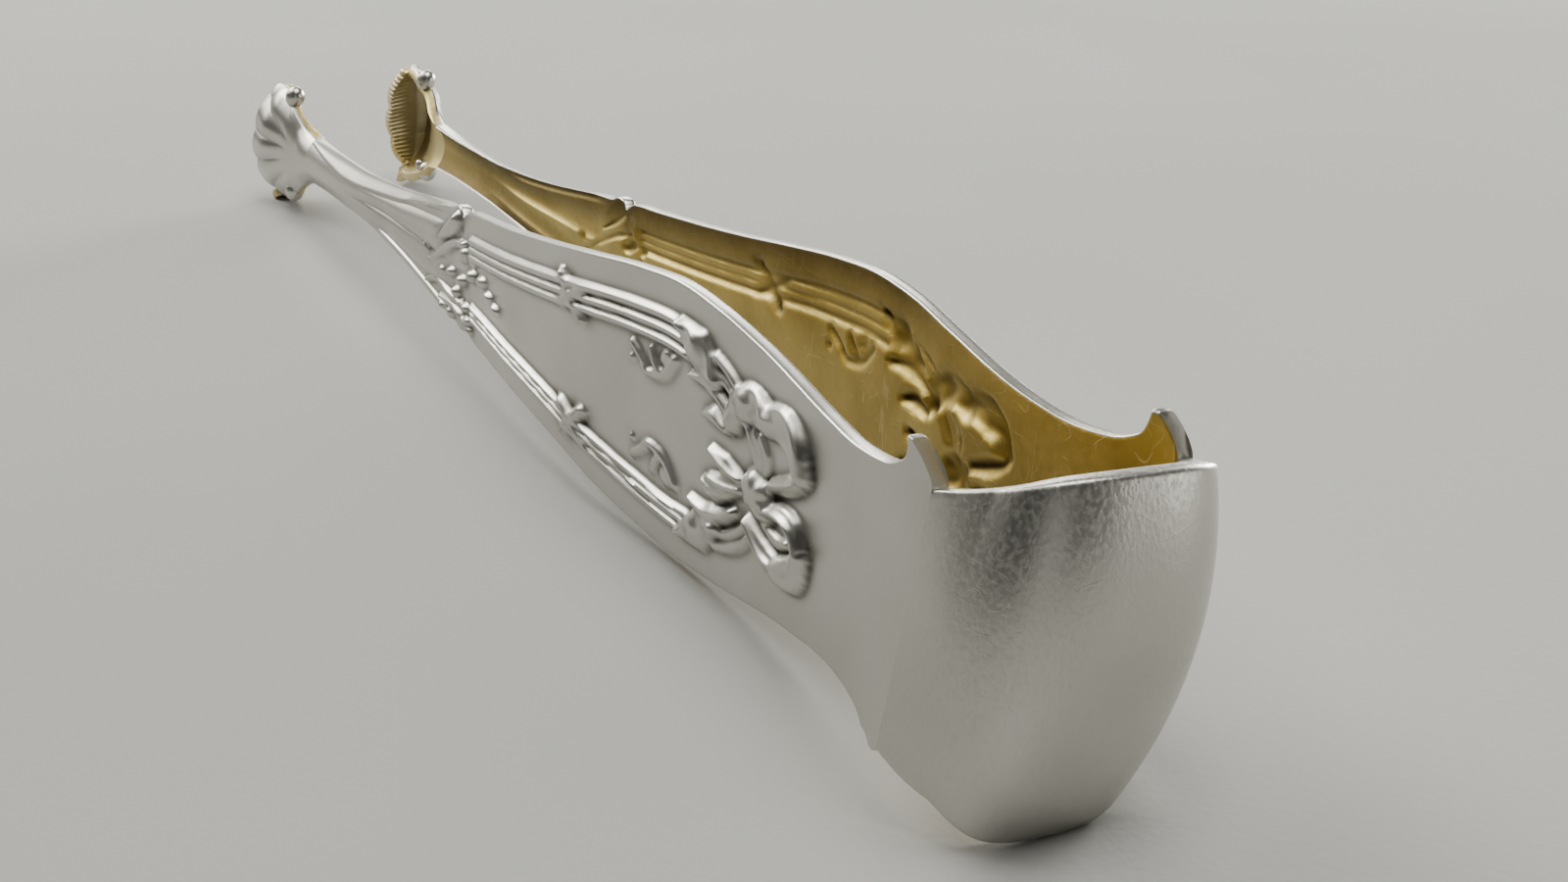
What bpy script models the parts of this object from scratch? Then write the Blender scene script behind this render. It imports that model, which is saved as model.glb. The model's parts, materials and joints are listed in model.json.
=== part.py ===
"""Spring ice tongs: a U-bent strip of die-struck silver, gilt inside, with a claw at the end of each arm.

The strip is modelled flat side out, with +Y from the bow to the claws, X across the gap and Z across the
strip. Arms and claws are embossed sheet: the relief that stands out of the outer face is hollow inside.
"""

import math

import bmesh
import bpy

MM = 0.001

# Driving sizes, in millimetres. Y is measured from the seam between the bow and the arms.
SHEET = 1.2  # thickness of the silver
SEAM_GAP = 0.3  # clearance left at each seam between separate solids
BOW_DEPTH = 9.2  # seam to the front of the bow
BOW_HALF_GAP = 9.3  # centre plane to the outer face at the seam
BOW_SQUARENESS = 2.7  # exponent of the bow's plan curve: 2 is an ellipse
BOW_HALF_WIDTH = 13.6  # half the strip's width at the front of the bow
SEAM_HALF_WIDTH = 9.1  # half the strip's width where the bow meets the arms
EAR_HALF_WIDTH = 11.6  # half the width across the two ears at the end of an arm
EAR_SLANT = 1.2  # how far the ear tips lean towards the claws
NECK_Y = 133.0  # seam between an arm and its claw
CLAW_HALF_WIDTH = 7.6
CLAW_ROOT_Y = 137.0  # where the claw begins to widen and swell
CLAW_SIDE_OUT = 8.2  # centre plane to the outer face at the claw's sides
CLAW_SIDE_SWELL = 0.45  # swell left at the claw's sides, as a share of that in the middle
CLAW_SIDE_REACH = 0.65  # reach of the claw's sides, as a share of that in the middle
CLAW_FLUTES = 5
CLAW_FLUTE_DEPTH = 0.25
SCROLL_RADIUS = 1.5
SCROLL_LENGTH = 2.2
SCROLL_INSET = 1.1  # the claw's side edge to the middle of its scroll
SCROLL_ALONG = 0.46  # where on the claw's side the scroll stands, from neck 0 to edge 1

# Half the arm's width along its length: ear, valley, panel, cusp, stem and neck.
ARM_OUTLINE = [(0.0, 11.6), (1.2, 11.5), (5.5, 9.1), (10.0, 8.9), (18.0, 9.7), (32.0, 11.5), (40.0, 11.2),
               (52.0, 10.2), (66.0, 8.9), (79.0, 7.6), (82.0, 5.6), (90.0, 4.9), (104.0, 3.2), (118.0, 2.6),
               (133.0, 2.7)]
# Centre plane to the arm's outer face: the arms draw in from the bow, then stand nearly parallel.
ARM_PLAN = [(0.0, 9.3), (7.0, 8.3), (15.0, 7.8), (32.0, 8.3), (52.0, 8.9), (80.0, 8.6), (110.0, 8.2),
            (133.0, 8.0)]

# The claw along its middle, from neck to edge: it swells outward as a bowl and then hooks in.
CLAW_OUT = [(0.0, 8.0), (0.2, 8.3), (0.4, 9.6), (0.6, 10.9), (0.74, 10.9), (0.88, 8.4), (1.0, 5.0)]
CLAW_Y = [(0.0, 133.0), (0.2, 136.4), (0.4, 140.4), (0.6, 144.2), (0.74, 146.4), (0.88, 147.7), (1.0, 147.6)]

# Relief on the arms: a reeded border round the panel, a raised knot and flower, and a rib on the stem.
BORDER_START_Y = 34.0
BORDER_END_Y = 77.0
BORDER_INSET = 3.9  # strip edge to the middle of the reeded border
BORDER_HALF_WIDTH = 1.5
BORDER_HEIGHT = 0.45
KNOT_Y = 21.0
KNOT_RADII = (9.0, 7.5)
KNOT_HEIGHT = 0.9
FLOWER_Y = 80.0
FLOWER_RADII = (6.0, 4.5)
FLOWER_HEIGHT = 0.8
RIB_HEIGHT = 0.5

ARM_GRID = (72, 18)  # faces along and across an arm
BOW_GRID = (49, 10)  # an odd count leaves a level face under the bow
CLAW_GRID = (22, 24)

SILVER = (0.86, 0.85, 0.82, 1.0)


def clear_scene():
    for obj in list(bpy.data.objects):
        bpy.data.objects.remove(obj)


def smooth(points, y):
    """Height at y of a smooth curve through points, with slopes that never overshoot between them."""
    if y <= points[0][0]:
        return points[0][1]
    if y >= points[-1][0]:
        return points[-1][1]
    slopes = [(b[1] - a[1]) / (b[0] - a[0]) for a, b in zip(points, points[1:])]
    tangents = [slopes[0]]
    for before, after in zip(slopes, slopes[1:]):
        same_way = before * after > 0
        tangents.append(2 * before * after / (before + after) if same_way else 0.0)
    tangents.append(slopes[-1])
    i = max(k for k, point in enumerate(points) if point[0] <= y)
    span = points[i + 1][0] - points[i][0]
    t = (y - points[i][0]) / span
    return (
        (2 * t**3 - 3 * t**2 + 1) * points[i][1]
        + (t**3 - 2 * t**2 + t) * span * tangents[i]
        + (3 * t**2 - 2 * t**3) * points[i + 1][1]
        + (t**3 - t**2) * span * tangents[i + 1]
    )


def bump(distance):
    """1 at distance 0, falling smoothly to 0 at distance 1."""
    return (1 - min(abs(distance), 1.0) ** 2) ** 2


def arm_relief(y, across):
    """How far the outer face stands out at this place on an arm."""
    edge = smooth(ARM_OUTLINE, y) - BORDER_INSET
    along = min(y - BORDER_START_Y, BORDER_END_Y - y) / 2
    border = BORDER_HEIGHT * bump((abs(across) - edge) / BORDER_HALF_WIDTH) * max(0.0, min(1.0, along))
    knot = KNOT_HEIGHT * bump(math.hypot((y - KNOT_Y) / KNOT_RADII[0], across / KNOT_RADII[1]))
    flower = FLOWER_HEIGHT * bump(math.hypot((y - FLOWER_Y) / FLOWER_RADII[0], across / FLOWER_RADII[1]))
    on_stem = max(0.0, min(1.0, (y - FLOWER_Y) / 6))
    rib = RIB_HEIGHT * bump(across / (0.6 * smooth(ARM_OUTLINE, y))) * on_stem
    return max(border, knot, flower, rib)


def arm_point(along, across):
    """A point of an arm's outer face, as distance out from the centre plane, y and z."""
    y = SEAM_GAP / 2 + along * (NECK_Y - SEAM_GAP - SEAM_GAP / 2)
    z = across * smooth(ARM_OUTLINE, y)
    ear = (abs(z) - SEAM_HALF_WIDTH) / (EAR_HALF_WIDTH - SEAM_HALF_WIDTH)
    slant = EAR_SLANT * max(0.0, ear) * max(0.0, 1 - y / 5)
    out = smooth(ARM_PLAN, y) + arm_relief(y, z)
    return out, y + slant, z


def claw_point(along, across):
    """A point of a claw's outer face: a fluted bowl that hooks in towards the other claw."""
    flare = max(0.0, min(1.0, (along - 0.12) / 0.38))
    flare = flare**2 * (3 - 2 * flare)
    neck = smooth(ARM_OUTLINE, NECK_Y)
    z = across * (neck + (CLAW_HALF_WIDTH - neck) * flare)
    reach = max(0.0, smooth(CLAW_Y, along) - CLAW_ROOT_Y)
    y = smooth(CLAW_Y, along) - (1 - CLAW_SIDE_REACH) * across**2 * reach
    swell = smooth(CLAW_OUT, along) - CLAW_SIDE_OUT
    flute = CLAW_FLUTE_DEPTH * math.cos(math.pi * CLAW_FLUTES * across) * flare
    return CLAW_SIDE_OUT + swell * (1 - (1 - CLAW_SIDE_SWELL) * across**2 * flare) + flute, y, z


def bow_point(along, across):
    """A point of the bow's outer face. Its edges rise steadily from the seams to the front."""
    turn = (along - 0.5) * math.pi
    power = 2 / BOW_SQUARENESS
    x = BOW_HALF_GAP * math.copysign(abs(math.sin(turn)) ** power, turn)
    forward = BOW_DEPTH * max(math.cos(turn), 0.0) ** power
    rise = BOW_HALF_WIDTH - SEAM_HALF_WIDTH
    z = across * (SEAM_HALF_WIDTH + rise * forward / BOW_DEPTH)
    return x, -forward - SEAM_GAP / 2 * (1 - forward / BOW_DEPTH), z


def silver():
    material = bpy.data.materials.new("silver")
    material.use_nodes = True
    shader = material.node_tree.nodes["Principled BSDF"]
    shader.inputs["Base Color"].default_value = SILVER
    shader.inputs["Metallic"].default_value = 1.0
    shader.inputs["Roughness"].default_value = 0.25
    return material


def sheet(name, grid, point, side, origin, material, collection):
    """A node of sheet silver: a grid bent to point(along, across), thickened away from its outer face."""
    mesh = bpy.data.meshes.new(name)
    shape = bmesh.new()
    bmesh.ops.create_grid(shape, x_segments=grid[0], y_segments=grid[1], size=1.0)
    for vertex in shape.verts:
        out, y, z = point((vertex.co.x + 1) / 2, vertex.co.y)
        vertex.co = ((side * out - origin[0]) * MM, (y - origin[1]) * MM, z * MM)
    if side < 0:
        bmesh.ops.reverse_faces(shape, faces=shape.faces)
    shape.to_mesh(mesh)
    shape.free()
    mesh.materials.append(material)
    node = bpy.data.objects.new(name, mesh)
    collection.objects.link(node)
    thickness = node.modifiers.new("sheet thickness", "SOLIDIFY")
    thickness.thickness = SHEET * MM
    thickness.offset = -1.0
    return node


def scroll(name, place, side, origin, collection):
    """The round end of a claw's scroll: a helper that a Boolean joins to the claw."""
    out, y, z = place
    bpy.ops.mesh.primitive_cylinder_add(
        vertices=20,
        radius=SCROLL_RADIUS * MM,
        depth=SCROLL_LENGTH * MM,
        location=((side * out - origin[0]) * MM, (y - origin[1]) * MM, z * MM),
        rotation=(0.0, math.pi / 2, 0.0),
    )
    helper = bpy.context.object
    helper.name = name
    helper.hide_render = True
    helper.display_type = "WIRE"
    for owner in list(helper.users_collection):
        owner.objects.unlink(helper)
    collection.objects.link(helper)
    return helper


def empty(name, location, parent, collection):
    marker = bpy.data.objects.new(name, None)
    marker.location = [value * MM for value in location]
    marker.parent = parent
    collection.objects.link(marker)
    return marker


def hinge_place(side):
    """Where an arm's spring hinge stands: in the middle of the sheet, at the seam."""
    return side * (BOW_HALF_GAP - SHEET / 2), 0.0, 0.0


def arm_and_claw(label, side, rest, material, nodes, helpers):
    hinge = hinge_place(side)
    joint = empty(f"{label}_hinge", hinge, rest, nodes)
    arm = sheet(f"{label}_arm", ARM_GRID, arm_point, side, hinge, material, nodes)
    arm.parent = joint
    claw = sheet(f"{label}_claw", CLAW_GRID, claw_point, side, hinge, material, nodes)
    claw.parent = joint
    for edge in (-1, 1):
        out, y, z = claw_point(SCROLL_ALONG, edge)
        place = (out - SHEET / 2, y, z - edge * SCROLL_INSET)
        knob = scroll(f"{label}_scroll_{'low' if edge < 0 else 'high'}", place, side, hinge, helpers)
        knob.parent = joint
        join = claw.modifiers.new("scroll", "BOOLEAN")
        join.operation = "UNION"
        join.object = knob


def lay_down(rest, scene_nodes):
    """Lays the tongs on edge, on the bow and the claws, with the middle of their footprint at the origin."""
    scroll_low = CLAW_HALF_WIDTH - SCROLL_INSET + SCROLL_RADIUS
    scroll_y = claw_point(SCROLL_ALONG, 1.0)[1]
    rest.rotation_euler.x = -math.atan2(BOW_HALF_WIDTH - scroll_low, scroll_y + BOW_DEPTH - SHEET / 2)
    bpy.context.view_layer.update()
    graph = bpy.context.evaluated_depsgraph_get()
    corners = []
    for node in scene_nodes:
        evaluated = node.evaluated_get(graph)
        corners += [evaluated.matrix_world @ vertex.co for vertex in evaluated.data.vertices]
    rest.location.y -= (min(c.y for c in corners) + max(c.y for c in corners)) / 2
    rest.location.z -= min(c.z for c in corners)


def main():
    clear_scene()
    nodes = bpy.data.collections.new("ice_tongs")
    helpers = bpy.data.collections.new("scroll_helpers")
    for collection in (nodes, helpers):
        bpy.context.scene.collection.children.link(collection)
    material = silver()
    rest = empty("tongs_rest", (0, 0, 0), None, nodes)
    bow = sheet("bow", BOW_GRID, bow_point, 1, (0, 0, 0), material, nodes)
    bow.parent = rest
    for label, side in (("left", -1), ("right", 1)):
        arm_and_claw(label, side, rest, material, nodes, helpers)
    lay_down(rest, [obj for obj in nodes.objects if obj.type == "MESH"])


main()
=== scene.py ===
"""Looks of the spring ice tongs: a U-bent strip of die-struck silver, gilt inside, lying on edge."""

import json
import math

import bmesh
import bpy
import numpy as np
from mathutils import Matrix, Vector


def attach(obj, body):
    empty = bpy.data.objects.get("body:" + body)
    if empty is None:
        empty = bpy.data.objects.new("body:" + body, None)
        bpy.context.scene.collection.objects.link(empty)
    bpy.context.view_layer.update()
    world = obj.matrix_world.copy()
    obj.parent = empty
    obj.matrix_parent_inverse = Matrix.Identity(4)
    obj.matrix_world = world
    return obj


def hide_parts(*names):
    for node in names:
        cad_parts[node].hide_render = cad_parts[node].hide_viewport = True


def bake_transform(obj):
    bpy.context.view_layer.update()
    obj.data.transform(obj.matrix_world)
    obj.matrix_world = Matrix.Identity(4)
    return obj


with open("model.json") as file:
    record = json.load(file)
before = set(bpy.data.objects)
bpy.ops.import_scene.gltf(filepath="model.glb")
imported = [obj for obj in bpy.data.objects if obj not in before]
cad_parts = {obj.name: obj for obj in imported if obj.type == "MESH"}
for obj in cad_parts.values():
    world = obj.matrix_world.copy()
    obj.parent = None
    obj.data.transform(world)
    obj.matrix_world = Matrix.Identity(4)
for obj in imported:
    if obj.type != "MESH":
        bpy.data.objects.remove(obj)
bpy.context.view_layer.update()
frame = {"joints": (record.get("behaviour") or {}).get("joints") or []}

MM = 0.001

# ---------------------------------------------------------------- sizes of the strip, in millimetres
# y runs from the seam between bow and arms to the claws, w across the strip (up, as it lies), and "out"
# from the centre plane to the outer face of an arm.
SHEET = 1.2
BOW_DEPTH = 8.9
BOW_HALF_GAP = (9.6, 9.9)  # left, right
BOW_SQUARENESS = 2.7
BOW_UPPER_HALF = 11.4  # half width at the front, above and below the middle
BOW_LOWER_HALF = 13.6
BOW_DOME = 1.5  # how far the bow's face falls away 10 mm from its middle
SEAM_HALF_WIDTH = 8.8
EAR_HALF_WIDTH = 11.3
EAR_SLANT = 2.2
LOWER_EAR_CUT = 2.5  # how much shorter the lower ears are
LOWER_EAR_FADE = 3.5  # the length in which that cut runs out
NECK_Y = 133.0

ARM_OUTLINE = [(0.0, 11.3), (0.7, 11.35), (1.5, 10.9), (3.0, 9.6), (5.3, 8.75), (9.0, 8.5), (13.0, 8.8),
               (18.0, 9.5), (24.0, 10.4), (30.0, 11.2), (36.0, 11.6), (42.0, 11.15), (50.0, 10.1),
               (58.0, 8.9), (66.0, 7.85), (74.0, 6.95), (79.2, 6.4), (80.4, 5.8), (80.9, 5.5), (81.6, 6.2),
               (82.6, 6.3), (84.0, 5.8), (88.0, 5.35), (94.0, 4.5), (100.0, 3.7), (108.0, 2.95),
               (116.0, 2.5), (126.0, 2.4), (133.0, 2.6)]
# Centre plane to the outer face of each arm; years of squeezing have bent the two differently.
LEFT_PLAN = [(0.0, 9.6), (4.0, 9.03), (8.0, 8.48), (15.0, 7.68), (24.0, 7.15), (32.0, 7.25), (42.0, 7.93),
             (52.0, 8.7), (66.0, 8.85), (80.0, 8.4), (95.0, 8.12), (110.0, 8.08), (133.0, 8.0)]
RIGHT_PLAN = [(0.0, 9.9), (4.0, 9.46), (8.0, 9.1), (15.0, 8.95), (24.0, 9.6), (32.0, 10.35), (42.0, 10.5),
              (52.0, 10.2), (66.0, 9.8), (80.0, 9.3), (95.0, 8.7), (110.0, 8.1), (133.0, 7.6)]

# The twist that use has left in the strip, in degrees.
BOW_TURN = 10.6  # how far the strip leans to the right at the bow
TURN_FADE = 5.9  # millimetres in which that lean dies away along the arms
TURN_RATE = 3.0  # the lean that returns in 100 mm
RACK = (4.8, 5.6, -7.2)  # how far the left arm stands above the right one: by powers of y / 100
SKEW = 0.042  # millimetres back toward the bow for each one to the right
LEAN = 0.04  # millimetres back toward the bow for each one up

# Rows of mesh along an arm: (from, to, spacing).
ROW_STRETCHES = [(0.0, 3.0, 0.25), (3.0, 12.0, 0.6), (12.0, 44.0, 0.22), (44.0, 66.0, 0.45),
                 (66.0, 96.0, 0.25), (96.0, 133.0, 0.7)]
OUTER_COLUMNS = 140
INNER_COLUMNS = 78
EDGE_BEVEL = 0.3
RIGHT_EDGE_WEAR = 0.72  # how much the right arm's lower edge has lost where it rests
WEAR_Y = 36
WEAR_REACH = 16
STEM_ROUNDING = 1.0  # how far the stem's upper edge rolls over
ROUNDING_START_Y = 86
ROUNDING_FADE = 14
# The edge of the sheet, from the outer face to the inner: (inset from the edge, depth under the face).
RIM = [(0.16, 0.03), (0.06, 0.09), (0.01, 0.18), (0.0, 0.5), (0.0, 0.9), (0.03, 1.09), (0.10, 1.17)]
INNER_SOFTENING = 1  # how many times the pattern is averaged on its way through the sheet
INNER_STRENGTH = 0.85
TARNISH_WIDTH = 3.4  # the dark border inside each arm
TARNISH_START_Y = 20
TARNISH_FADE = 12
INNER_INSET = RIM[-1][0] + 0.1

# ---------------------------------------------------------------- the strip's own frame in the world
spring = frame["joints"][0]
UP = -Vector(spring["axis"]).normalized()
ALONG = UP.cross(Vector((1.0, 0.0, 0.0)))
SEAM = Vector((0.0, spring["pos_m"][1], spring["pos_m"][2]))


def smooth(points, at):
    """A smooth curve through points, with slopes that never overshoot between them."""
    xs = np.array([p[0] for p in points])
    ys = np.array([p[1] for p in points])
    slopes = np.diff(ys) / np.diff(xs)
    before, after = slopes[:-1], slopes[1:]
    same_way = before * after > 0
    safe = np.where(same_way, before + after, 1.0)
    inner = np.where(same_way, 2 * before * after / safe, 0.0)
    tangents = np.concatenate([slopes[:1], inner, slopes[-1:]])
    at = np.clip(np.asarray(at, float), xs[0], xs[-1])
    i = np.clip(np.searchsorted(xs, at, side="right") - 1, 0, len(xs) - 2)
    span = xs[i + 1] - xs[i]
    t = (at - xs[i]) / span
    return ((2 * t**3 - 3 * t**2 + 1) * ys[i] + (t**3 - 2 * t**2 + t) * span * tangents[i]
            + (3 * t**2 - 2 * t**3) * ys[i + 1] + (t**3 - t**2) * span * tangents[i + 1])


def eased(t):
    """From 0 to 1 with level ends."""
    return t * t * (3 - 2 * t)


def placed(x, y, w):
    """World places, in metres, of strip places in millimetres, with the twist of the used strip."""
    arm = np.maximum(y, 0)
    turn = np.radians(BOW_TURN * np.exp(-arm / TURN_FADE) + TURN_RATE * arm / 100)
    rack = np.radians(RACK[0] + RACK[1] * arm / 100 + RACK[2] * (arm / 100) ** 2)
    side = x * np.cos(turn) + w * np.sin(turn)
    height = w * np.cos(turn) - x * np.tan(rack)
    flat = np.stack([side, y - SKEW * x - LEAN * height, height], axis=-1) * MM
    axes = np.array([(1.0, 0.0, 0.0), ALONG, UP])
    return flat @ axes + np.array(SEAM)


# ---------------------------------------------------------------- the struck pattern
def curve(points, steps=12):
    """A smooth path through given points."""
    points = np.array(points, float)
    ends = np.vstack([2 * points[0] - points[1], points, 2 * points[-1] - points[-2]])
    path = []
    for a, b, c, d in zip(ends, ends[1:], ends[2:], ends[3:]):
        for t in np.linspace(0, 1, steps, endpoint=False):
            path.append(0.5 * (2 * b + (c - a) * t + (2 * a - 5 * b + 4 * c - d) * t**2
                               + (3 * b - a - 3 * c + d) * t**3))
    path.append(points[-1])
    return np.array(path)


class Relief:
    """Height of the pattern over a grid of places (y, w) on an arm."""

    def __init__(self, y, w):
        self.y, self.w = y, w
        self.height = np.zeros(y.shape)

    def raise_to(self, patch, height):
        self.height[patch] = np.maximum(self.height[patch], height)

    def stroke(self, points, widths, height, folds=0, veins=0, crown=0.6):
        """A band along a curve, with its half width at the start, middle and end, and folds along it."""
        path = curve(points)
        reach = max(widths)
        patch = ((self.y > path[:, 0].min() - reach) & (self.y < path[:, 0].max() + reach)
                 & (self.w > path[:, 1].min() - reach) & (self.w < path[:, 1].max() + reach))
        if not patch.any():
            return
        place = np.stack([self.y[patch], self.w[patch]], axis=-1)[:, None, :]
        start, step = path[:-1], np.diff(path, axis=0)
        length = np.hypot(step[:, 0], step[:, 1])
        t = np.clip(((place - start) * step).sum(-1) / length**2, 0, 1)
        gap = place - start - t[..., None] * step
        distance = np.hypot(gap[..., 0], gap[..., 1])
        nearest = distance.argmin(axis=1)
        rows = np.arange(len(nearest))
        side = np.sign(step[nearest, 0] * gap[rows, nearest, 1] - step[nearest, 1] * gap[rows, nearest, 0])
        along_path = (np.concatenate([[0], np.cumsum(length)])[nearest]
                      + t[rows, nearest] * length[nearest]) / length.sum()
        across = distance[rows, nearest] / np.interp(along_path, [0, 0.5, 1], widths)
        level = np.clip(1 - across**2, 0, 1) ** crown
        ripple = np.zeros(len(rows))
        if folds:
            ripple += 0.22 * np.cos(2 * math.pi * folds * side * across / 2)
        if veins:
            ripple += 0.18 * np.cos(2 * math.pi * veins * along_path + 2.5 * across)
        self.raise_to(patch, height * level * (1 + ripple * (1 - across**4).clip(0)))

    def bead(self, centre, radii, height, turn=0.0, pleats=0):
        """A rounded boss, turned from the strip's length by some degrees, with pleats round its middle."""
        c, s = math.cos(math.radians(turn)), math.sin(math.radians(turn))
        dy, dw = self.y - centre[0], self.w - centre[1]
        a, b = (dy * c + dw * s) / radii[0], (dw * c - dy * s) / radii[1]
        q = np.hypot(a, b)
        patch = q < 1
        level = (1 - q[patch] ** 2) ** 0.55
        if pleats:
            level = level * (1 + 0.16 * np.cos(pleats * np.arctan2(b[patch], a[patch])) * q[patch])
        self.raise_to(patch, height * level)

    def both(self, draw):
        """Draws a motif on the upper half of the strip, and its mirror image on the lower."""
        draw(self)
        mirror = Relief(self.y, -self.w)
        draw(mirror)
        self.height = np.maximum(self.height, mirror.height)


def averaged(height, times):
    for _ in range(times):
        for axis in (0, 1):
            ends = np.concatenate([height.take([0], axis), height, height.take([-1], axis)], axis)
            a = np.delete(ends, [-1, -2], axis)
            c = np.delete(ends, [0, 1], axis)
            height = (a + 2 * height + c) / 4
    return height


REED_START_Y = 33.0
REED_END_Y = 79.0
REED_HEIGHT = 0.6
LOWER_SPREAD = 0.74  # the lower reeds are struck closer together
# Each reed's distance in from the edge, where it starts and where it ends, and its half width.
REEDS = [(3.2, 2.7, 0.50), (4.3, 3.5, 0.44), (5.3, 4.25, 0.44)]


def reeds(relief, spread=1.0):
    """Three parallel reeds that follow the edge of the panel, the first always at the same distance."""
    edge = smooth(ARM_OUTLINE, relief.y) - relief.w
    along_reed = np.clip((relief.y - REED_START_Y) / (REED_END_Y - REED_START_Y), 0, 1)
    ends = np.clip(np.minimum(relief.y - REED_START_Y, REED_END_Y - relief.y), 0, 1)
    for start, end, half_width in REEDS:
        first, last = REEDS[0][0], REEDS[0][1]
        start, end = first + spread * (start - first), last + spread * (end - last)
        across = (edge - start - (end - start) * along_reed) / (half_width * spread)
        level = np.clip(1 - across**2, 0, 1) ** 0.7
        relief.height = np.maximum(relief.height, REED_HEIGHT * level * ends)


TIE_Y = 53.0
TIE_INSET = 4.1


def tie(relief):
    """A crossed ribbon round the reeds."""
    middle = float(smooth(ARM_OUTLINE, TIE_Y)) - TIE_INSET
    relief.stroke([(TIE_Y - 2.6, middle + 1.3), (TIE_Y, middle), (TIE_Y + 2.4, middle - 1.2)],
                  (0.5, 0.8, 0.5), 0.72, folds=2)
    relief.stroke([(TIE_Y + 2.0, middle + 1.7), (TIE_Y, middle), (TIE_Y - 1.8, middle - 1.6)],
                  (0.5, 0.8, 0.5), 0.8, folds=2)


def wrap(relief):
    """The leaf wrapped round the reeds' end, and the strands that run on from it under the ribbon."""
    relief.stroke([(34.9, 8.6), (32.2, 7.4), (28.9, 5.9)], (0.5, 1.9, 0.7), 0.95, veins=2, crown=0.5)
    relief.stroke([(29.4, 7.6), (27.2, 6.9), (25.2, 5.8), (24.2, 4.8)], (0.5, 0.55, 0.4), 0.55)
    relief.stroke([(29.4, 6.6), (27.3, 5.8), (25.6, 4.8), (24.8, 4.0)], (0.5, 0.5, 0.4), 0.5)
    relief.stroke([(33.4, 5.0), (30.6, 5.3), (28.0, 4.6), (26.4, 3.6)], (0.3, 1.0, 0.5), 0.7, folds=1)
    relief.stroke([(31.2, 2.6), (29.4, 3.0), (27.4, 2.6)], (0.3, 1.05, 0.5), 0.7, folds=1)


def sprig(relief):
    """A small spray of leaves on the plain field."""
    relief.stroke([(36.0, 5.2), (37.6, 3.6), (39.8, 3.0), (41.0, 3.4)], (0.5, 0.6, 0.3), 0.45)
    relief.stroke([(39.6, 5.2), (39.0, 4.2), (38.0, 3.4)], (0.3, 0.5, 0.35), 0.5)
    relief.stroke([(42.6, 4.8), (41.6, 4.2), (40.6, 3.6)], (0.4, 0.45, 0.3), 0.45)
    relief.bead((37.4, 5.0), (1.1, 0.7), 0.4, turn=-30)
    relief.bead((42.8, 3.4), (0.5, 0.4), 0.35)


def ribbon_bow(relief):
    """The tied ribbon at the wide end of the panel."""
    # the large upper loop, in two billows, and its return to the knot
    relief.stroke([(26.6, 3.6), (25.6, 5.1), (23.4, 5.9), (21.0, 5.5)],
                  (1.1, 1.6, 1.3), 0.95, veins=2, crown=0.42)
    relief.stroke([(21.4, 5.6), (18.6, 5.9), (16.4, 5.2), (15.4, 3.6)],
                  (1.2, 1.6, 1.0), 1.0, veins=1, crown=0.42)
    relief.stroke([(15.3, 3.8), (16.0, 2.7), (18.0, 1.8), (20.4, 0.9)], (0.6, 0.85, 0.6), 0.85, folds=2)
    # pleats inside the loop
    for shift in (0.0, 1.0, 2.0):
        relief.stroke([(24.6 - shift, 3.9), (23.6 - shift, 2.6), (22.6 - 0.5 * shift, 1.0)],
                      (0.35, 0.5, 0.35), 0.5 - 0.05 * shift)
    # the knot
    relief.bead((22.3, -0.6), (2.6, 1.9), 1.25, turn=12, pleats=6)
    # the small lower loop
    relief.stroke([(21.0, -1.3), (18.8, -0.7), (16.6, -0.8), (15.4, -2.2)], (0.6, 0.95, 0.8), 1.0, folds=2)
    relief.stroke([(15.3, -2.4), (16.4, -4.2), (18.8, -5.1)], (0.9, 1.5, 1.2), 1.0, veins=1, crown=0.42)
    relief.stroke([(18.4, -5.0), (21.4, -4.9), (24.2, -3.4)], (0.9, 1.1, 0.6), 0.85, folds=2)
    relief.stroke([(17.8, -2.6), (19.6, -3.1), (21.8, -2.6)], (0.4, 0.6, 0.4), 0.5)
    # ribbon ends on the far side of the knot
    relief.stroke([(25.2, -0.6), (27.6, -0.4), (30.0, 0.2)], (0.5, 1.0, 0.4), 0.75, folds=2)
    relief.stroke([(25.2, -1.4), (27.6, -2.0), (30.4, -2.2)], (0.5, 1.0, 0.4), 0.7, folds=2)


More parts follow.
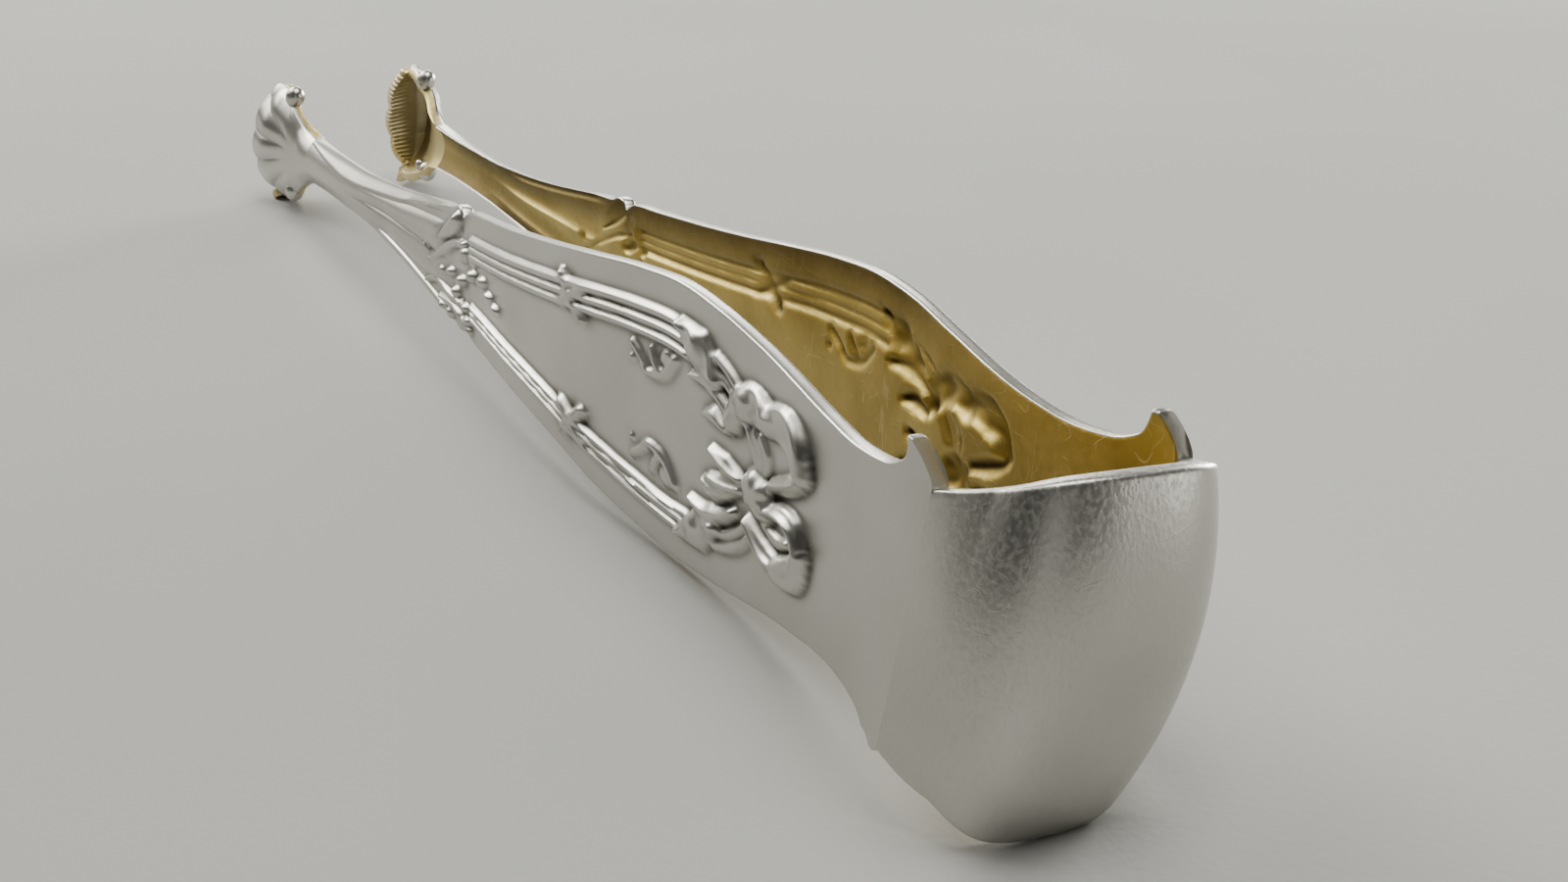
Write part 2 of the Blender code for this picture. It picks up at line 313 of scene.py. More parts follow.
def flower(relief):
    """The cluster of beads and leaves between panel and stem."""
    for centre, radii, height, turn in (
        ((71.2, -0.9), (1.0, 0.42), 0.55, 12), ((73.0, -0.2), (1.0, 0.42), 0.6, 10),
        ((75.2, 0.6), (1.3, 0.6), 0.6, -8), ((78.0, 0.4), (1.2, 0.7), 0.75, -10),
        ((81.0, -0.8), (1.1, 0.6), 0.8, -10), ((84.4, -0.8), (1.0, 0.55), 0.65, -12),
        ((86.8, -1.2), (0.8, 0.5), 0.6, 0), ((90.4, -1.2), (0.9, 0.6), 0.7, -20),
        ((80.0, -3.3), (1.0, 0.5), 0.7, -6), ((79.6, -4.5), (1.0, 0.5), 0.6, -4),
        ((84.8, -5.0), (0.9, 0.55), 0.6, 0), ((87.6, -5.2), (0.7, 0.6), 0.5, 0),
        ((80.2, 1.9), (1.6, 0.8), 0.75, -20), ((77.4, 2.0), (0.9, 0.6), 0.6, -20),
        ((88.8, 2.2), (0.8, 0.5), 0.55, 0), ((91.4, 0.0), (1.0, 0.7), 0.7, 30),
        ((76.2, -3.2), (1.0, 0.5), 0.5, 20), ((82.8, -2.4), (0.9, 0.6), 0.7, 0),
    ):
        relief.bead(centre, radii, height, turn)
    relief.stroke([(82.0, 5.0), (84.6, 3.4), (87.0, 2.0)], (0.9, 0.9, 0.3), 0.75, folds=1)
    relief.stroke([(80.0, 3.0), (83.6, 2.2), (87.6, 0.4), (90.6, -1.4)], (0.4, 0.6, 0.3), 0.55)
    relief.stroke([(81.2, -3.2), (84.8, -3.2), (88.6, -2.6), (92.0, -3.6)], (0.4, 0.55, 0.3), 0.55)
    relief.stroke([(79.0, -5.4), (83.4, -4.2), (88.0, -4.2)], (0.4, 0.5, 0.3), 0.5)


STEM_START_Y = 84.0
STEM_RIM = 0.8
NECK_CROWN = 1.4
RIB_MERGE_Y = 104
RIB_END_Y = 120.0


def stem(relief):
    """Raised edges, and two broad reeds that run together into the rounded neck."""
    half = smooth(ARM_OUTLINE, relief.y)
    begin = eased(np.clip((relief.y - STEM_START_Y) / 5, 0, 1))
    rim = np.clip(1 - ((half - np.abs(relief.w) - STEM_RIM / 2) / (STEM_RIM / 2)) ** 2, 0, 1) ** 0.6
    merge = eased(np.clip((relief.y - RIB_MERGE_Y) / (RIB_END_Y - RIB_MERGE_Y), 0, 1))
    upper = np.clip(1 - ((relief.w / half - 0.34) / 0.34) ** 2, 0, 1) ** 0.7
    lower = np.clip(1 - ((relief.w / half + 0.30) / 0.34) ** 2, 0, 1) ** 0.7
    whole = np.clip(1 - (relief.w / half) ** 2, 0, 1) ** 0.8
    body = (1 - merge) * np.maximum(0.75 * upper, 0.5 * lower) + merge * NECK_CROWN * whole
    relief.height = np.maximum(relief.height, begin * np.maximum(0.3 * rim * (1 - 0.6 * merge), body))


def struck(y, w):
    """The whole pattern of an arm."""
    relief = Relief(y, w)
    lower = Relief(y, -w)
    reeds(relief)
    reeds(lower, LOWER_SPREAD)
    relief.height = np.maximum(relief.height, lower.height)
    for motif in (tie, wrap, sprig):
        relief.both(motif)
    for motif in (ribbon_bow, flower, stem):
        motif(relief)
    return relief.height


# ---------------------------------------------------------------- meshes
def solid(name, places, faces, gilded, tones, materials):
    """A shown piece from world places and faces: gilded marks the faces of the second material."""
    mesh = bpy.data.meshes.new(name)
    mesh.from_pydata(places.tolist(), [], faces)
    for material in materials:
        mesh.materials.append(material)
    mesh.polygons.foreach_set("material_index", np.asarray(gilded, np.int32))
    # A tone for each point: painted shade in the hollows of the struck pattern and inside the claws,
    # together with tarnish; the materials darken their colour by it.
    tone = mesh.attributes.new("recess_shade_and_tarnish", "FLOAT", "POINT")
    tone.data.foreach_set("value", np.asarray(tones, np.float32))
    mesh.update()
    piece = bpy.data.objects.new(name, mesh)
    bpy.context.scene.collection.objects.link(piece)
    outward(piece)
    mesh.shade_smooth()
    mesh.set_sharp_from_angle(angle=math.radians(75))
    return piece


def ring_mesh(name, rings, split, recess_shade_and_tarnish, materials):
    """A closed band of rings. The columns between the two in split are the inner, gilded face."""
    rows, columns = rings.shape[:2]
    i, j = np.meshgrid(np.arange(rows - 1), np.arange(columns), indexing="ij")
    k = (j + 1) % columns
    quads = np.stack([i * columns + j, i * columns + k, (i + 1) * columns + k, (i + 1) * columns + j], -1)
    faces = quads.reshape(-1, 4).tolist()
    faces.append(list(range(columns)))
    faces.append(list(range((rows - 1) * columns, rows * columns)))
    inside = (j >= split[0]) & (j < split[1])
    return solid(name, rings.reshape(-1, 3), faces, np.append(inside.ravel(), [False, False]),
                 recess_shade_and_tarnish.ravel(), materials)


def outward(piece):
    """Turns the faces outward."""
    shape = bmesh.new()
    shape.from_mesh(piece.data)
    bmesh.ops.recalc_face_normals(shape, faces=shape.faces)
    shape.to_mesh(piece.data)
    shape.free()


def arm_rings(side):
    y_rows = np.concatenate([np.arange(a, b, step) for a, b, step in ROW_STRETCHES] + [[NECK_Y]])
    half = smooth(ARM_OUTLINE, y_rows)[:, None]
    plan = smooth(RIGHT_PLAN if side > 0 else LEFT_PLAN, y_rows)[:, None]
    y_outer = np.repeat(y_rows[:, None], OUTER_COLUMNS, axis=1)
    below = half - LOWER_EAR_CUT * np.clip(1 - y_rows / LOWER_EAR_FADE, 0, 1)[:, None]
    if side > 0:
        below = below - RIGHT_EDGE_WEAR * np.exp(-((y_rows - WEAR_Y) / WEAR_REACH) ** 2)[:, None]
    from_ends = np.minimum(y_rows - ROUNDING_START_Y, NECK_Y - y_rows)
    rounding = STEM_ROUNDING * np.clip(from_ends / ROUNDING_FADE, 0, 1)[:, None]
    across = np.linspace(0, 1, OUTER_COLUMNS)[None, :]
    w_outer = EDGE_BEVEL - below + across * (half + below - 2 * EDGE_BEVEL - rounding)
    pattern = averaged(struck(y_outer, w_outer), 1)
    # Painted shade: the outer face darkens where the struck pattern lies lower than its surroundings.
    recess_shade_and_tarnish = np.clip(averaged(pattern, 14) - pattern, 0, 1) * 4
    y_inner = np.repeat(y_rows[:, None], INNER_COLUMNS, axis=1)
    across = np.linspace(0, 1, INNER_COLUMNS)[None, :]
    w_inner = half - INNER_INSET + across * (2 * INNER_INSET - half - below)
    hollow = INNER_STRENGTH * averaged(struck(y_inner, w_inner), INNER_SOFTENING)
    # Painted shade: the gilded inner face darkens in its hollows; the tarnished border along its edges is
    # added below.
    inner_shade_and_tarnish = np.clip(hollow - averaged(hollow, 12), 0, 1) * 4
    border = np.clip(1 - (half - np.abs(w_inner)) / TARNISH_WIDTH, 0, 1) ** 0.7
    tarnished = np.clip((y_inner - TARNISH_START_Y) / TARNISH_FADE, 0, 1)
    inner_shade_and_tarnish = np.maximum(inner_shade_and_tarnish, border * tarnished)
    rim_depth = np.array([r[1] for r in RIM])[None, :]
    low_inset = np.array([r[0] for r in RIM])[None, :] + 0 * half
    top_inset = low_inset + rounding * (1 - rim_depth / SHEET) ** 2
    edge_lift = [pattern[:, -1:], pattern[:, :1]]
    upper = (plan + edge_lift[0] * (1 - rim_depth / SHEET) - rim_depth, half - top_inset)
    lower = (plan + edge_lift[1] * (1 - rim_depth / SHEET) - rim_depth, low_inset - below)
    out = np.concatenate([plan + pattern, upper[0], plan - SHEET + hollow, lower[0][:, ::-1]], axis=1)
    w = np.concatenate([w_outer, upper[1], w_inner, lower[1][:, ::-1]], axis=1)
    y = y_rows[:, None] * np.ones_like(w)
    ear = np.clip((np.abs(w) - SEAM_HALF_WIDTH) / (EAR_HALF_WIDTH - SEAM_HALF_WIDTH), 0, 1.1)
    y = y + EAR_SLANT * ear**1.5 * np.clip(1 - y / 5, 0, 1)
    rim_tone = np.zeros((len(y_rows), len(RIM)))
    tones = np.concatenate([recess_shade_and_tarnish, rim_tone, inner_shade_and_tarnish, rim_tone], axis=1)
    return placed(side * out, y, w), tones


def arm(name, side, body, materials):
    rings, tones = arm_rings(side)
    inner_start = OUTER_COLUMNS + len(RIM)
    inner = (inner_start, inner_start + INNER_COLUMNS - 1)
    piece = ring_mesh(name + "_struck", rings, inner, tones, materials)
    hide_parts(name)
    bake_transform(piece)
    return piece


BOW_ROWS = 150
BOW_OUTER_COLUMNS = 50
BOW_INNER_COLUMNS = 24


def bow_rings():
    turn = np.linspace(-math.pi / 2, math.pi / 2, 4001)
    power = 2 / BOW_SQUARENESS
    x = np.where(turn < 0, *BOW_HALF_GAP) * np.sign(turn) * np.abs(np.sin(turn)) ** power
    forward = BOW_DEPTH * np.abs(np.cos(turn)) ** power
    length = np.concatenate([[0], np.cumsum(np.hypot(np.diff(x), np.diff(forward)))])
    even = np.linspace(0, length[-1], BOW_ROWS)
    x, forward = np.interp(even, length, x), np.interp(even, length, forward)
    forward[0] = forward[-1] = 0.0
    tx, tf = np.gradient(x), np.gradient(forward)
    tx[0] = tx[-1] = 0.0
    norm = np.hypot(tx, tf)
    nx, nf = (-tf / norm)[:, None], (tx / norm)[:, None]
    rise = (forward / BOW_DEPTH)[:, None]
    above = SEAM_HALF_WIDTH + (BOW_UPPER_HALF - SEAM_HALF_WIDTH) * rise
    below = SEAM_HALF_WIDTH + (BOW_LOWER_HALF - SEAM_HALF_WIDTH) * rise
    across = np.linspace(-1, 1, BOW_OUTER_COLUMNS)[None, :]
    w_outer = np.where(across > 0, above - EDGE_BEVEL, below - EDGE_BEVEL) * across
    across = np.linspace(1, -1, BOW_INNER_COLUMNS)[None, :]
    w_inner = np.where(across > 0, above - INNER_INSET, below - INNER_INSET) * across
    rim_inset = np.array([r[0] for r in RIM])[None, :]
    rim_depth = np.array([r[1] for r in RIM])[None, :] * np.ones((BOW_ROWS, 1))
    depth = np.concatenate([0 * w_outer, rim_depth, SHEET + 0 * w_inner, rim_depth[:, ::-1]], axis=1)
    w = np.concatenate([w_outer, above - rim_inset, w_inner, (rim_inset - below)[:, ::-1]], axis=1)
    depth = depth + BOW_DOME * (w / 10) ** 2 * np.minimum(1, forward / 4)[:, None]
    return placed(x[:, None] - nx * depth, nf * depth - forward[:, None], w), np.zeros(w.shape)


def bow(materials):
    rings, tones = bow_rings()
    inner_start = BOW_OUTER_COLUMNS + len(RIM)
    inner = (inner_start, inner_start + BOW_INNER_COLUMNS - 1)
    piece = ring_mesh("bow_polished", rings, inner, tones, materials)
    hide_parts("bow")
    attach(piece, "bow_body")
    return piece


CLAW_ROWS = 110
CLAW_COLUMNS = 150
CLAW_ROOT_Y = 137.0
CLAW_SIDE_OUT = 8.2
CLAW_ROLL = (1.25, 1.0)  # how far the claw's sides roll in: below and above the middle
HOOK_UNROLL = 0.55  # how much less the lower side rolls in at the hook
CLAW_SIDE_REACH = 0.86
# The claw along its middle: it swells outward as a bowl and then hooks in.
CLAW_OUT = [(0.0, 8.0), (0.2, 8.4), (0.38, 9.9), (0.58, 11.6), (0.72, 11.7), (0.87, 9.3), (1.0, 5.7)]
CLAW_Y = [(0.0, 133.0), (0.2, 136.6), (0.38, 140.6), (0.58, 145.0), (0.72, 147.4), (0.87, 148.8),
          (1.0, 148.6)]
CLAW_HALF = [(0.0, 2.6), (0.1, 2.9), (0.2, 3.5), (0.3, 4.6), (0.38, 5.6), (0.46, 6.3), (0.6, 7.0),
             (0.75, 7.2), (1.0, 6.8)]
FLARE_START = 0.12  # where the neck starts to widen into the shell, as a part of the claw's length
FLARE_LENGTH = 0.38
FAN_ROOT_Y = 135.5  # where the ribs spread from
FAN_ANGLE = 80.0
CLAW_RIBS = 9
CLAW_RIB_DEPTH = 0.42
TEETH = 25
TOOTH_DEPTH = 0.16


def claw_face(side):
    """The claw's outer face, as a grid of places: rows from neck to edge, columns from the lower side up."""
    t = np.linspace(0, 1, CLAW_ROWS)[:, None]
    u = np.linspace(-1, 1, CLAW_COLUMNS)[None, :]
    flare = eased(np.clip((t - FLARE_START) / FLARE_LENGTH, 0, 1))
    w = u * smooth(CLAW_HALF, t)
    angle = np.degrees(np.arctan2(w, smooth(CLAW_Y, t) - FAN_ROOT_Y))
    fan = np.abs(np.cos(math.pi * CLAW_RIBS * angle / FAN_ANGLE / 2))
    end = 1 - 0.01 * (1 - fan) * t**2
    middle_y, middle_out = smooth(CLAW_Y, t * end), smooth(CLAW_OUT, t * end)
    reach = np.maximum(0, middle_y - CLAW_ROOT_Y)
    y = middle_y - (1 - CLAW_SIDE_REACH) * u**2 * reach
    hook = np.clip((t - 0.7) / 0.3, 0, 1)
    aside = np.clip(np.abs(u - 0.2 * hook), 0, 1)
    roll = (1 - np.sqrt(1 - 0.94 * aside**2)) / 0.755
    roll = roll * np.where(u < 0, CLAW_ROLL[0] - HOOK_UNROLL * hook, CLAW_ROLL[1])
    swell = (middle_out - CLAW_SIDE_OUT) * (1 - roll * flare)
    neck_crown = NECK_CROWN * np.clip(1 - u**2, 0, 1) ** 0.8 * (1 - flare)
    plan = RIGHT_PLAN if side > 0 else LEFT_PLAN
    x = CLAW_SIDE_OUT + swell + neck_crown + (plan[-1][1] - 8.0)
    return np.stack([x + 0 * w, y + 0 * w, w], axis=-1), fan, t, u


def face_normals(grid):
    along, across = np.gradient(grid, axis=0), np.gradient(grid, axis=1)
    normal = np.cross(across, along)
    return normal / np.linalg.norm(normal, axis=-1, keepdims=True)


def claw_mesh(name, side, materials):
    """A closed shell between the outer face and the same face moved in by the sheet's thickness."""
    grid, fan, t, u = claw_face(side)
    normal = face_normals(grid)
    if normal[0, CLAW_COLUMNS // 2, 0] < 0:
        normal = -normal
    begins = np.clip((t - 0.3) / 0.3, 0, 1)
    ribs = CLAW_RIB_DEPTH * (fan**0.7 - 0.5) * begins * np.clip((1.02 - np.abs(u)) / 0.1, 0, 1)
    teeth = TOOTH_DEPTH * np.cos(math.pi * TEETH * u) * np.clip((t - 0.9) / 0.1, 0, 1)
    outer = grid + normal * ribs[..., None]
    flare = np.clip((t - FLARE_START) / FLARE_LENGTH, 0, 1)[..., None]
    through = normal * flare + np.array((1.0, 0.0, 0.0)) * (1 - flare)
    through /= np.linalg.norm(through, axis=-1, keepdims=True)
    inner = grid - through * (SHEET - 0.3 * ribs)[..., None]
    inner[..., 1] += teeth
    outer[..., 1] += teeth
    rows, columns = CLAW_ROWS, CLAW_COLUMNS
    loop = ([(0, j) for j in range(columns)] + [(i, columns - 1) for i in range(1, rows)]
            + [(rows - 1, j) for j in range(columns - 2, -1, -1)] + [(i, 0) for i in range(rows - 2, 0, -1)])
    i_loop, j_loop = np.array([k[0] for k in loop]), np.array([k[1] for k in loop])
    away = np.zeros((len(loop), 3))
    along, across = np.gradient(grid, axis=0), np.gradient(grid, axis=1)
    for edge, direction in ((i_loop == 0, -along), (i_loop == rows - 1, along),
                            (j_loop == 0, -across), (j_loop == columns - 1, across)):
        step = direction[i_loop[edge], j_loop[edge]]
        away[edge] += step / np.linalg.norm(step, axis=-1, keepdims=True)
    away *= np.clip(i_loop / 12, 0, 1)[:, None]
    rim_steps = [(0.12, 0.13), (0.35, 0.2), (0.65, 0.2), (0.88, 0.13)]
    start, stop = outer[i_loop, j_loop], inner[i_loop, j_loop]
    rims = [start + (stop - start) * depth + away * swell for depth, swell in rim_steps]
    places = np.concatenate([outer.reshape(-1, 3), inner.reshape(-1, 3)] + rims)
    quad = (np.arange(rows - 1)[:, None] * columns + np.arange(columns - 1)[None, :]).ravel()
    quads = np.stack([quad, quad + 1, quad + columns + 1, quad + columns], axis=1)
    count, span = rows * columns, len(loop)
    faces = [quads, quads[:, ::-1] + count]
    rings = [i_loop * columns + j_loop]
    rings += [2 * count + k * span + np.arange(span) for k in range(len(rims))]
    rings += [rings[0] + count]
    for a, b in zip(rings, rings[1:]):
        faces.append(np.stack([a, b, np.roll(b, -1), np.roll(a, -1)], axis=1))
    # Painted shade: the gilded inside of the claw darkens towards the middle of its bowl, and the outer face
    # darkens between its ribs.
    bowl_shade = np.clip(np.sin(math.pi * np.clip((t - 0.2) / 0.75, 0, 1)), 0, 1) * (1 - 0.5 * u**2)
    tones = np.concatenate([((1 - fan) * begins * 0.35).ravel(), (0.8 * bowl_shade).ravel(),
                            np.zeros(span * len(rims))])
    gilded = np.concatenate([np.zeros(len(quads)), np.ones(len(quads)),
                             np.zeros(span), np.tile(i_loop > 3, len(rims))])
    return places, np.concatenate(faces), tones, gilded


KNOBS = [(0.42, -0.1, 0.0, 1.15), (0.5, 1.2, 0.1, 0.62)]  # place along the side, in, out, radius
LOWER_KNOB_SHIFT = (0.8, 1.1)  # up, out
UPPER_KNOB_SHIFT = (0.6, 0.4)


def claw(name, side, body, materials):
    places, faces, tones, gilded = claw_mesh(name, side, materials)
    grid = claw_face(side)[0]
    verts, polygons = [places], faces.tolist()
    for along, inward, outward_by, radius in KNOBS:
        for end in (0, -1):
            x, y, w = grid[int(along * (CLAW_ROWS - 1)), end]
            lift, out = LOWER_KNOB_SHIFT if end == 0 else UPPER_KNOB_SHIFT
            centre = (x - SHEET / 2 + outward_by + out, y, w - math.copysign(inward, w) + lift)
            first = sum(len(v) for v in verts)
            ball, sides = knob(centre, radius)
            verts.append(ball)
            polygons += [[first + k for k in face] for face in sides]
    places = np.concatenate(verts)
    spare = len(places) - len(tones)
    world = placed(side * places[:, 0], places[:, 1], places[:, 2])
    tones = np.concatenate([tones, np.zeros(spare)])
    gilded = np.concatenate([gilded, np.zeros(len(polygons) - len(gilded))])
    piece = solid(name + "_shell", world, polygons, gilded, tones, materials)
    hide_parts(name)
    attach(piece, body)
    return piece


def knob(centre, radius, rows=14, columns=24):
    """The round end of a scroll, a little taller than it is wide."""
    lat = np.linspace(-math.pi / 2, math.pi / 2, rows)[1:-1]
    lon = np.linspace(0, 2 * math.pi, columns, endpoint=False)
    ring = np.stack([np.cos(lat)[:, None] * np.cos(lon), np.cos(lat)[:, None] * np.sin(lon),
                     np.sin(lat)[:, None] + 0 * lon], axis=-1).reshape(-1, 3)
    ball = np.concatenate([ring, [(0, 0, -1), (0, 0, 1)]]) * radius * np.array((1.0, 1.0, 1.12)) + centre
    faces = []
    for i in range(rows - 3):
        for j in range(columns):
            k = (j + 1) % columns
            faces.append([i * columns + j, i * columns + k, (i + 1) * columns + k, (i + 1) * columns + j])
    south, north, last = len(ring), len(ring) + 1, (rows - 3) * columns
    faces += [[south, (j + 1) % columns, j] for j in range(columns)]
    faces += [[north, last + j, last + (j + 1) % columns] for j in range(columns)]
    return ball, faces


# ---------------------------------------------------------------- materials
class Shading:
    """A material's nodes, with short ways to add and join them."""

    def __init__(self, name):
        self.material = bpy.data.materials.new(name)
        self.material.use_nodes = True
        self.nodes, self.links = self.material.node_tree.nodes, self.material.node_tree.links
        self.shader = self.nodes["Principled BSDF"]
        self.place = self.nodes.new("ShaderNodeTexCoord").outputs["Object"]

    def noise(self, scale, detail=4.0, stretch=(1, 1, 1), turn=(0, 0, 0)):
        mapping = self.nodes.new("ShaderNodeMapping")
        mapping.inputs["Rotation"].default_value = [math.radians(v) for v in turn]
        mapping.inputs["Scale"].default_value = stretch
        self.links.new(self.place, mapping.inputs["Vector"])
        noise = self.nodes.new("ShaderNodeTexNoise")
        noise.inputs["Scale"].default_value = scale
        noise.inputs["Detail"].default_value = detail
        self.links.new(mapping.outputs["Vector"], noise.inputs["Vector"])
        return noise.outputs["Fac"]

    def span(self, value, low, high, to_low=0.0, to_high=1.0):
        node = self.nodes.new("ShaderNodeMapRange")
        for key, number in (("From Min", low), ("From Max", high), ("To Min", to_low), ("To Max", to_high)):
            node.inputs[key].default_value = number
        self.links.new(value, node.inputs["Value"])
        return node.outputs["Result"]

    def maths(self, kind, *values):
        node = self.nodes.new("ShaderNodeMath")
        node.operation = kind
        node.use_clamp = kind in ("ADD", "MULTIPLY")
        for k, value in enumerate(values):
            if isinstance(value, (int, float)):
                node.inputs[k].default_value = value
            else:
                self.links.new(value, node.inputs[k])
        return node.outputs["Value"]

    def mix(self, amount, first, second):
        node = self.nodes.new("ShaderNodeMix")
        node.data_type = "RGBA"
        self.links.new(amount, node.inputs[0])
        for slot, colour in ((6, first), (7, second)):
            if isinstance(colour, tuple):
                node.inputs[slot].default_value = (*colour, 1.0)
            else:
                self.links.new(colour, node.inputs[slot])
        return node.outputs[2]

    def along(self):
        """The place along the tongs, in metres."""
        node = self.nodes.new("ShaderNodeSeparateXYZ")
        self.links.new(self.place, node.inputs["Vector"])
        return node.outputs["Y"]

    def recess_shade_and_tarnish(self):
        # The per-point tone of painted shade and tarnish, read from the mesh.
        node = self.nodes.new("ShaderNodeAttribute")
        node.attribute_name = "recess_shade_and_tarnish"
        return node.outputs["Fac"]

    def bump(self, height, strength, distance):
        node = self.nodes.new("ShaderNodeBump")
        node.inputs["Strength"].default_value = strength
        node.inputs["Distance"].default_value = distance
        self.links.new(height, node.inputs["Height"])
        self.links.new(node.outputs["Normal"], self.shader.inputs["Normal"])

    def give(self, key, value):
        self.links.new(value, self.shader.inputs[key])


def scratches(shading):
    """Fine hairlines in several directions, 1 on a line and 0 between."""
    lines = None
    for scale, stretch, turn in ((400, (0.05, 1, 1), (0, 35, 10)), (360, (1, 0.05, 1), (20, 0, 25)),
                                 (440, (1, 1, 0.05), (10, 20, 0)), (380, (0.06, 1, 1), (0, -30, 20))):
        level = shading.noise(scale, 0.0, stretch, turn)
        gap = shading.maths("ABSOLUTE", shading.maths("SUBTRACT", level, 0.5))
        line = shading.span(gap, 0.0, 0.007, 1.0, 0.0)
        line = shading.maths("MULTIPLY", line, shading.span(shading.noise(180 + scale, 1.0), 0.5, 0.6))
        lines = line if lines is None else shading.maths("MAXIMUM", lines, line)
    return lines


SILVER = (0.56, 0.55, 0.51)
DULL_SILVER = (0.49, 0.48, 0.43)
# The dark colour in the silver's hollows: dirt together with painted shade.
SILVER_DIRT_AND_SHADE = (0.035, 0.03, 0.024)
GOLD = (0.62, 0.49, 0.17)
DULL_GOLD = (0.42, 0.32, 0.09)
SCRATCHED_GOLD = (0.70, 0.60, 0.34)
BARE_SILVER = (0.86, 0.78, 0.56)  # the silver that shows through thin gilding
# The dark colour in the gilt's hollows: dirt together with painted shade.
GOLD_DIRT_AND_SHADE = (0.07, 0.045, 0.012)
PAPER = (0.40, 0.40, 0.39)
LIGHT_PAPER = (0.43, 0.43, 0.42)


def worn_silver():
    shading = Shading("worn_silver")
    shading.shader.inputs["Metallic"].default_value = 1.0
    cloud = shading.span(shading.noise(60, 2.0), 0.35, 0.65)
    handled = shading.span(shading.along(), -0.058, -0.070, 0.06, 1.0)
    rubbed = shading.span(shading.noise(3600, 5.0, (1, 1, 0.6)), 0.42, 0.68)
    rubbed = shading.maths("MULTIPLY", rubbed, handled)
    lines = shading.maths("MULTIPLY", scratches(shading), handled)
    recess_shade_and_tarnish = shading.recess_shade_and_tarnish()
    # Painted shade in the hollows, together with dirt, darkens the silver and makes it rougher.
    silver_shade_and_dirt = shading.maths("MULTIPLY", recess_shade_and_tarnish, 0.95)
    clean = shading.mix(cloud, SILVER, DULL_SILVER)
    shading.give("Base Color", shading.mix(silver_shade_and_dirt, clean, SILVER_DIRT_AND_SHADE))
    rough = shading.span(cloud, 0, 1, 0.30, 0.34)
    rough = shading.maths("ADD", rough, shading.maths("MULTIPLY", handled, 0.02))
    rough = shading.maths("ADD", rough, shading.maths("MULTIPLY", rubbed, 0.12))
    shading.give("Roughness", shading.maths("ADD", rough, shading.maths("MULTIPLY", silver_shade_and_dirt, 0.25)))
    surface = shading.maths("MULTIPLY", rubbed, 0.35)
    surface = shading.maths("ADD", surface, shading.maths("MULTIPLY", lines, 0.2))
    shading.bump(surface, 0.6, 0.00004)
    return shading.material


def antique_gilt():
    shading = Shading("antique_gilt")
    shading.shader.inputs["Metallic"].default_value = 1.0
    worn = shading.span(shading.noise(110, 5.0), 0.36, 0.66)
    grain = shading.noise(1400, 4.0)
    lines = scratches(shading)
    recess_shade_and_tarnish = shading.recess_shade_and_tarnish()
    gold = shading.mix(worn, GOLD, DULL_GOLD)
    gold = shading.mix(shading.maths("MULTIPLY", lines, 0.6), gold, SCRATCHED_GOLD)
    bare = shading.maths("MULTIPLY", shading.span(shading.along(), 0.050, 0.078, 0.0, 0.75), worn)
    gold = shading.mix(bare, gold, BARE_SILVER)
    # Painted shade in the hollows and inside the claws, together with dirt, darkens the gilt.
    gilt_shade_and_dirt = shading.maths("MULTIPLY", recess_shade_and_tarnish, 0.9)
    shading.give("Base Color", shading.mix(gilt_shade_and_dirt, gold, GOLD_DIRT_AND_SHADE))
    rough = shading.span(grain, 0.3, 0.7, 0.42, 0.54)
    shading.give("Roughness", shading.maths("ADD", rough, shading.maths("MULTIPLY", recess_shade_and_tarnish, 0.15)))
    surface = shading.maths("ADD", shading.noise(500, 4.0), shading.maths("MULTIPLY", lines, 0.4))
    shading.bump(surface, 0.5, 0.00006)
    return shading.material


def pale_paper():
    shading = Shading("pale_paper")
    fibre = shading.noise(1300, 8.0)
    cloud = shading.span(shading.noise(9, 3.0), 0.35, 0.7)
    shading.give("Base Color", shading.mix(cloud, PAPER, LIGHT_PAPER))
    shading.give("Roughness", shading.span(fibre, 0.3, 0.7, 0.86, 0.96))
    shading.shader.inputs["Specular IOR Level"].default_value = 0.0
    shading.bump(fibre, 0.3, 0.0001)
    return shading.material


# ---------------------------------------------------------------- studio
CAMERA_AT = (-64.7, -84.7, 58.7)  # from the seam, in millimetres
CAMERA_AZIMUTH = 28.84
CAMERA_ELEVATION = 24.39
CAMERA_ROLL = 0.8
CAMERA_LENS = 43.97
FLOOR_HALF = 3.0
WARM = (1.0, 0.99, 0.93)
LIGHTS = [  # name, place, the point it faces, size, power; metres and watts
    ("overhead_softbox", (0.06, -0.10, 0.68), (0, 0, 0), (0.4, 0.4), 4.0),
    ("top_softbox", (-0.30, 0.28, 0.55), (0, 0, 0), (0.35, 0.35), 1.4),
    ("back_softbox", (-0.2, 0.66, 0.45), (0, 0, 0), (0.4, 0.28), 5.0),
    ("back_left_softbox", (-0.36, 0.70, 0.27), (0, 0, 0), (0.35, 0.15), 0.95),
    ("rim_softbox", (0.36, 0.74, 0.30), (0, 0, 0), (0.4, 0.2), 2.6),
    ("right_softbox", (0.70, 0.25, 0.10), (0, -0.06, 0.01), (0.35, 0.18), 11.0),
    ("front_right_softbox", (0.5, -0.5, 0.10), (0, -0.06, 0.01), (0.28, 0.2), 0.62),
    ("front_left_strip", (-0.25, -0.65, 0.12), (0, -0.06, 0), (0.3, 0.3), 0.12),
    ("left_softbox", (-0.66, 0.02, 0.24), (0, -0.06, 0), (0.3, 0.26), 0.06),
]


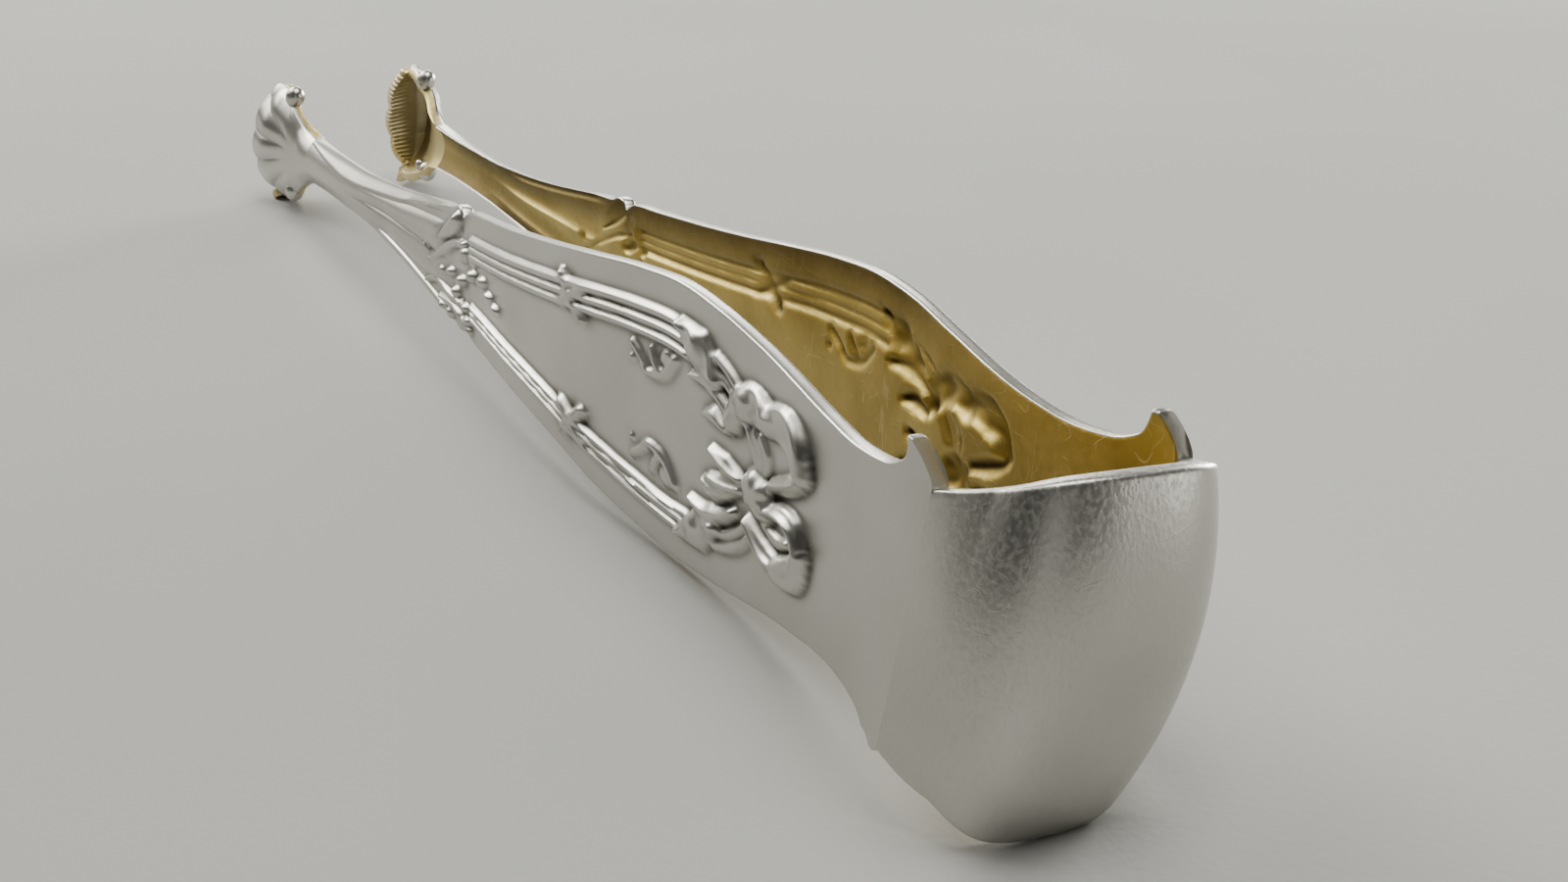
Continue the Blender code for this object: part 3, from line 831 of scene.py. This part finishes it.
def camera():
    data = bpy.data.cameras.new("camera")
    data.lens = CAMERA_LENS
    data.sensor_width = 36.0
    data.clip_start = 0.001
    data.clip_end = 20.0
    viewer = bpy.data.objects.new("camera", data)
    bpy.context.scene.collection.objects.link(viewer)
    az, el, roll = (math.radians(v) for v in (CAMERA_AZIMUTH, CAMERA_ELEVATION, CAMERA_ROLL))
    viewer.location = Vector((0.0, SEAM.y, SEAM.z)) + Vector(CAMERA_AT) * MM
    viewer.rotation_euler = (Matrix.Rotation(-az, 3, "Z") @ Matrix.Rotation(math.pi / 2 - el, 3, "X")
                             @ Matrix.Rotation(roll, 3, "Z")).to_euler()
    bpy.context.scene.camera = viewer


def area_light(name, place, target, size, power):
    data = bpy.data.lights.new(name, "AREA")
    data.shape = "RECTANGLE"
    data.size, data.size_y = size
    data.energy = power
    data.color = WARM
    lamp = bpy.data.objects.new(name, data)
    lamp.location = place
    lamp.rotation_euler = (Vector(target) - Vector(place)).to_track_quat("-Z", "Y").to_euler()
    bpy.context.scene.collection.objects.link(lamp)


def floor():
    mesh = bpy.data.meshes.new("floor")
    corners = [(x * FLOOR_HALF, y * FLOOR_HALF, 0) for x, y in ((-1, -1), (1, -1), (1, 1), (-1, 1))]
    mesh.from_pydata(corners, [], [(0, 1, 2, 3)])
    mesh.materials.append(pale_paper())
    piece = bpy.data.objects.new("floor", mesh)
    bpy.context.scene.collection.objects.link(piece)


def studio():
    world = bpy.data.worlds.new("studio")
    bpy.context.scene.world = world
    world.use_nodes = True
    world.node_tree.nodes["Background"].inputs["Color"].default_value = (0.5, 0.5, 0.5, 1.0)
    world.node_tree.nodes["Background"].inputs["Strength"].default_value = 0.05
    for light in LIGHTS:
        area_light(*light)


silver = worn_silver()
gilt = antique_gilt()
camera()
bow([silver, gilt])
for label, side in (("left", -1), ("right", 1)):
    arm(f"{label}_arm", side, f"{label}_arm_body", [silver, gilt])
    claw(f"{label}_claw", side, f"{label}_arm_body", [silver, gilt])
floor()
studio()
